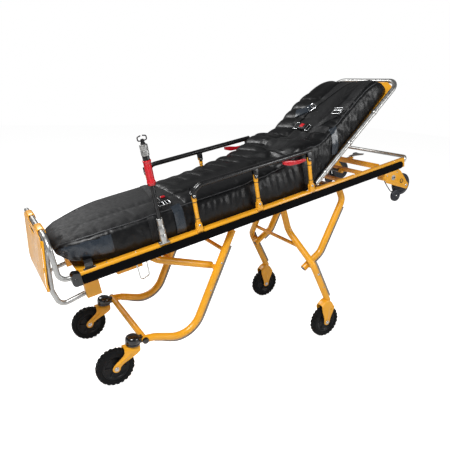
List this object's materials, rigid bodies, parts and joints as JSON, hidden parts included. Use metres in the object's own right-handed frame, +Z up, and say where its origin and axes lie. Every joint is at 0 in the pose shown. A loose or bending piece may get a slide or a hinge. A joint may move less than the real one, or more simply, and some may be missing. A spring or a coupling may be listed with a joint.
{
  "type": "stretcher trolley",
  "caption": "Wheeled patient stretcher with a sloping padded deck, raised backrest, folding legs, side guards, drip pole and loading wheels.",
  "frame": {"origin": "middle of the footprint, on the floor under the wheels", "axes": "+X towards the head end, +Y towards the patient's right, +Z up"},
  "size_m": [2.061, 0.663, 1.4135],
  "materials": {
    "yellow_paint": "satin powder coat",
    "bright_tube": "satin polished",
    "chrome": "polished",
    "bumper_rubber": "matte, lightly scuffed",
    "black_plastic": "gloss moulded",
    "black_metal": "satin black coat",
    "red_plastic": "gloss",
    "vinyl": "soft-sheen upholstery vinyl",
    "tyre": "matte tread",
    "hub_plastic": "matte moulded",
    "load_wheel_rubber": "matte blue-black"
  },
  "bodies": {
    "root": {"side_rail_left": "yellow_paint", "side_rail_right": "yellow_paint", "deck_tray": "yellow_paint", "head_frame": "yellow_paint", "bumper_left": "bumper_rubber", "bumper_right": "bumper_rubber", "corner_cap_left": "black_plastic", "corner_cap_right": "black_plastic", "foot_handle": "bright_tube", "lower_handle": "bright_tube", "foot_panel": "yellow_paint", "under_tray_channel": "yellow_paint", "wire_stirrup": "bright_tube", "head_bar": "bright_tube", "drip_pole_socket": "bright_tube", "drip_pole_mast": "black_metal", "drip_pole_grip": "red_plastic", "load_bracket_left": "yellow_paint", "load_bracket_right": "yellow_paint", "mattress_seat": "vinyl"},
    "drip_pole_upper": {"drip_pole_upper": "chrome"},
    "backrest": {"backrest_frame": "bright_tube", "backrest_panel": "yellow_paint", "mattress_back": "vinyl"},
    "gas_strut_cylinder": {"gas_strut_cylinder": "black_metal"},
    "gas_strut_rod": {"gas_strut_rod": "chrome"},
    "backrest_lever": {"backrest_lever": "bright_tube"},
    "head_legs": {"head_leg_frame": "yellow_paint", "head_fork_left": "yellow_paint", "head_fork_right": "yellow_paint"},
    "head_brace": {"head_brace_frame": "yellow_paint"},
    "foot_legs": {"foot_leg_frame": "yellow_paint"},
    "foot_brace": {"foot_brace_frame": "yellow_paint"},
    "guard_post_left_1": {"guard_post_left_1": "yellow_paint"},
    "guard_post_left_2": {"guard_post_left_2": "yellow_paint"},
    "guard_post_left_3": {"guard_post_left_3": "yellow_paint"},
    "guard_rail_left": {"guard_rail_left": "black_metal"},
    "guard_release_left": {"guard_release_left": "red_plastic"},
    "head_wheel_left": {"tyre_head_left": "tyre", "hub_head_left": "hub_plastic"},
    "caster_left": {"caster_fork_left": "yellow_paint"},
    "caster_wheel_left": {"tyre_caster_left": "tyre", "hub_caster_left": "hub_plastic"},
    "load_wheel_left": {"load_wheel_left": "load_wheel_rubber"},
    "trigger_arm_left": {"trigger_arm_left": "black_metal"},
    "trigger_wheel_left": {"trigger_wheel_left": "load_wheel_rubber"},
    "guard_post_right_1": {"guard_post_right_1": "yellow_paint"},
    "guard_post_right_2": {"guard_post_right_2": "yellow_paint"},
    "guard_post_right_3": {"guard_post_right_3": "yellow_paint"},
    "guard_rail_right": {"guard_rail_right": "black_metal"},
    "guard_release_right": {"guard_release_right": "red_plastic"},
    "head_wheel_right": {"tyre_head_right": "tyre", "hub_head_right": "hub_plastic"},
    "caster_right": {"caster_fork_right": "yellow_paint"},
    "caster_wheel_right": {"tyre_caster_right": "tyre", "hub_caster_right": "hub_plastic"},
    "load_wheel_right": {"load_wheel_right": "load_wheel_rubber"},
    "trigger_arm_right": {"trigger_arm_right": "black_metal"},
    "trigger_wheel_right": {"trigger_wheel_right": "load_wheel_rubber"}
  },
  "joints": [
    {"name": "head_leg_fold", "type": "hinge", "parent": "root", "child": "head_legs", "pos_m": [0.18962, 0, 0.75807], "axis": [0, 1, 0], "range_deg": [0, 83]},
    {"name": "head_brace_fold", "type": "hinge", "parent": "head_legs", "child": "head_brace", "pos_m": [0.33135, 0, 0.42256], "axis": [0, 1, 0], "range_deg": [-43.01, 0.5]},
    {"name": "foot_leg_fold", "type": "hinge", "parent": "root", "child": "foot_legs", "pos_m": [-0.16105, 0, 0.6765], "axis": [0, 1, 0], "range_deg": [0, 20]},
    {"name": "foot_brace_fold", "type": "hinge", "parent": "foot_legs", "child": "foot_brace", "pos_m": [-0.24757, 0, 0.49592], "axis": [0, 1, 0], "range_deg": [-29.84, 0.5]},
    {"name": "backrest_tilt", "type": "hinge", "parent": "root", "child": "backrest", "pos_m": [0.33638, 0, 0.86888], "axis": [0, -1, 0], "range_deg": [-31, 41]},
    {"name": "gas_strut_swing", "type": "hinge", "parent": "root", "child": "gas_strut_cylinder", "pos_m": [0.66177, -0.055, 0.89274], "axis": [0, 1, 0], "range_deg": [-11.66, 15.26]},
    {"name": "gas_strut_stroke", "type": "slide", "parent": "gas_strut_cylinder", "child": "gas_strut_rod", "axis": [-0.9823, 0, 0.1876], "range_m": [-0.0432, 0.0568]},
    {"name": "backrest_lever_lift", "type": "hinge", "parent": "root", "child": "backrest_lever", "pos_m": [0.7998, 0, 0.96378], "axis": [0, -1, 0], "range_deg": [0, 10], "stiffness_Nm_per_rad": 4, "springref_deg": -11.46},
    {"name": "drip_pole_extend", "type": "slide", "parent": "root", "child": "drip_pole_upper", "axis": [-0.213, 0, 0.977], "range_m": [0, 0.22]},
    {"name": "guard_fold_left", "type": "hinge", "parent": "root", "child": "guard_post_left_1", "pos_m": [-0.36311, -0.284, 0.73479], "axis": [0, -1, 0], "range_deg": [0, 70]},
    {"name": "guard_post_left_2_swing", "type": "hinge", "parent": "root", "child": "guard_post_left_2", "pos_m": [-0.04361, -0.284, 0.80445], "axis": [0, -1, 0], "range_deg": [-0.5, 70.5]},
    {"name": "guard_post_left_3_swing", "type": "hinge", "parent": "root", "child": "guard_post_left_3", "pos_m": [0.26904, -0.284, 0.87262], "axis": [0, -1, 0], "range_deg": [-0.5, 70.5]},
    {"name": "guard_rail_left_level", "type": "hinge", "parent": "guard_post_left_1", "child": "guard_rail_left", "pos_m": [-0.3925, -0.284, 0.86962], "axis": [0, -1, 0], "range_deg": [-70.5, 0.5]},
    {"name": "guard_release_left_squeeze", "type": "hinge", "parent": "guard_rail_left", "child": "guard_release_left", "pos_m": [0.09263, -0.284, 0.99638], "axis": [0, -1, 0], "range_deg": [0, 5], "stiffness_Nm_per_rad": 3, "springref_deg": -11.46},
    {"name": "head_wheel_left_spin", "type": "hinge", "parent": "head_legs", "child": "head_wheel_left", "pos_m": [0.4373, -0.3, 0.09], "axis": [0, 1, 0], "continuous": true},
    {"name": "caster_left_swivel", "type": "hinge", "parent": "foot_legs", "child": "caster_left", "pos_m": [-0.6617, -0.233, 0.182], "axis": [0, 0, 1], "continuous": true},
    {"name": "caster_wheel_left_spin", "type": "hinge", "parent": "caster_left", "child": "caster_wheel_left", "pos_m": [-0.7467, -0.233, 0.09], "axis": [0, 1, 0], "continuous": true},
    {"name": "load_wheel_left_spin", "type": "hinge", "parent": "root", "child": "load_wheel_left", "pos_m": [0.96783, -0.2535, 0.83154], "axis": [0, 1, 0], "continuous": true},
    {"name": "trigger_left_swing", "type": "hinge", "parent": "root", "child": "trigger_arm_left", "pos_m": [0.89612, -0.27, 0.82716], "axis": [0, 1, 0], "range_deg": [0, 30], "stiffness_Nm_per_rad": 1.5, "springref_deg": -11.46},
    {"name": "trigger_wheel_left_spin", "type": "hinge", "parent": "trigger_arm_left", "child": "trigger_wheel_left", "pos_m": [0.90372, -0.2815, 0.77355], "axis": [0, 1, 0], "continuous": true},
    {"name": "guard_fold_right", "type": "hinge", "parent": "root", "child": "guard_post_right_1", "pos_m": [-0.36311, 0.284, 0.73479], "axis": [0, -1, 0], "range_deg": [0, 70]},
    {"name": "guard_post_right_2_swing", "type": "hinge", "parent": "root", "child": "guard_post_right_2", "pos_m": [-0.04361, 0.284, 0.80445], "axis": [0, -1, 0], "range_deg": [-0.5, 70.5]},
    {"name": "guard_post_right_3_swing", "type": "hinge", "parent": "root", "child": "guard_post_right_3", "pos_m": [0.26904, 0.284, 0.87262], "axis": [0, -1, 0], "range_deg": [-0.5, 70.5]},
    {"name": "guard_rail_right_level", "type": "hinge", "parent": "guard_post_right_1", "child": "guard_rail_right", "pos_m": [-0.3925, 0.284, 0.86962], "axis": [0, -1, 0], "range_deg": [-70.5, 0.5]},
    {"name": "guard_release_right_squeeze", "type": "hinge", "parent": "guard_rail_right", "child": "guard_release_right", "pos_m": [0.09263, 0.284, 0.99638], "axis": [0, -1, 0], "range_deg": [0, 5], "stiffness_Nm_per_rad": 3, "springref_deg": -11.46},
    {"name": "head_wheel_right_spin", "type": "hinge", "parent": "head_legs", "child": "head_wheel_right", "pos_m": [0.4373, 0.3, 0.09], "axis": [0, 1, 0], "continuous": true},
    {"name": "caster_right_swivel", "type": "hinge", "parent": "foot_legs", "child": "caster_right", "pos_m": [-0.6617, 0.233, 0.182], "axis": [0, 0, 1], "continuous": true},
    {"name": "caster_wheel_right_spin", "type": "hinge", "parent": "caster_right", "child": "caster_wheel_right", "pos_m": [-0.7467, 0.233, 0.09], "axis": [0, 1, 0], "continuous": true},
    {"name": "load_wheel_right_spin", "type": "hinge", "parent": "root", "child": "load_wheel_right", "pos_m": [0.96783, 0.2535, 0.83154], "axis": [0, 1, 0], "continuous": true},
    {"name": "trigger_right_swing", "type": "hinge", "parent": "root", "child": "trigger_arm_right", "pos_m": [0.89612, 0.27, 0.82716], "axis": [0, 1, 0], "range_deg": [0, 30], "stiffness_Nm_per_rad": 1.5, "springref_deg": -11.46},
    {"name": "trigger_wheel_right_spin", "type": "hinge", "parent": "trigger_arm_right", "child": "trigger_wheel_right", "pos_m": [0.90372, 0.2815, 0.77355], "axis": [0, 1, 0], "continuous": true}
  ],
  "couplings": [
    {"joint": "head_brace_fold", "follows": "head_leg_fold", "ratio": -0.51215},
    {"joint": "foot_brace_fold", "follows": "foot_leg_fold", "ratio": -1.4669},
    {"joint": "gas_strut_swing", "follows": "backrest_tilt", "ratio": 0.36},
    {"joint": "gas_strut_stroke", "follows": "backrest_tilt", "m_per_rad": 0.078},
    {"joint": "guard_post_left_2_swing", "follows": "guard_fold_left", "ratio": 1},
    {"joint": "guard_post_left_3_swing", "follows": "guard_fold_left", "ratio": 1},
    {"joint": "guard_rail_left_level", "follows": "guard_fold_left", "ratio": -1},
    {"joint": "guard_post_right_2_swing", "follows": "guard_fold_right", "ratio": 1},
    {"joint": "guard_post_right_3_swing", "follows": "guard_fold_right", "ratio": 1},
    {"joint": "guard_rail_right_level", "follows": "guard_fold_right", "ratio": -1}
  ]
}
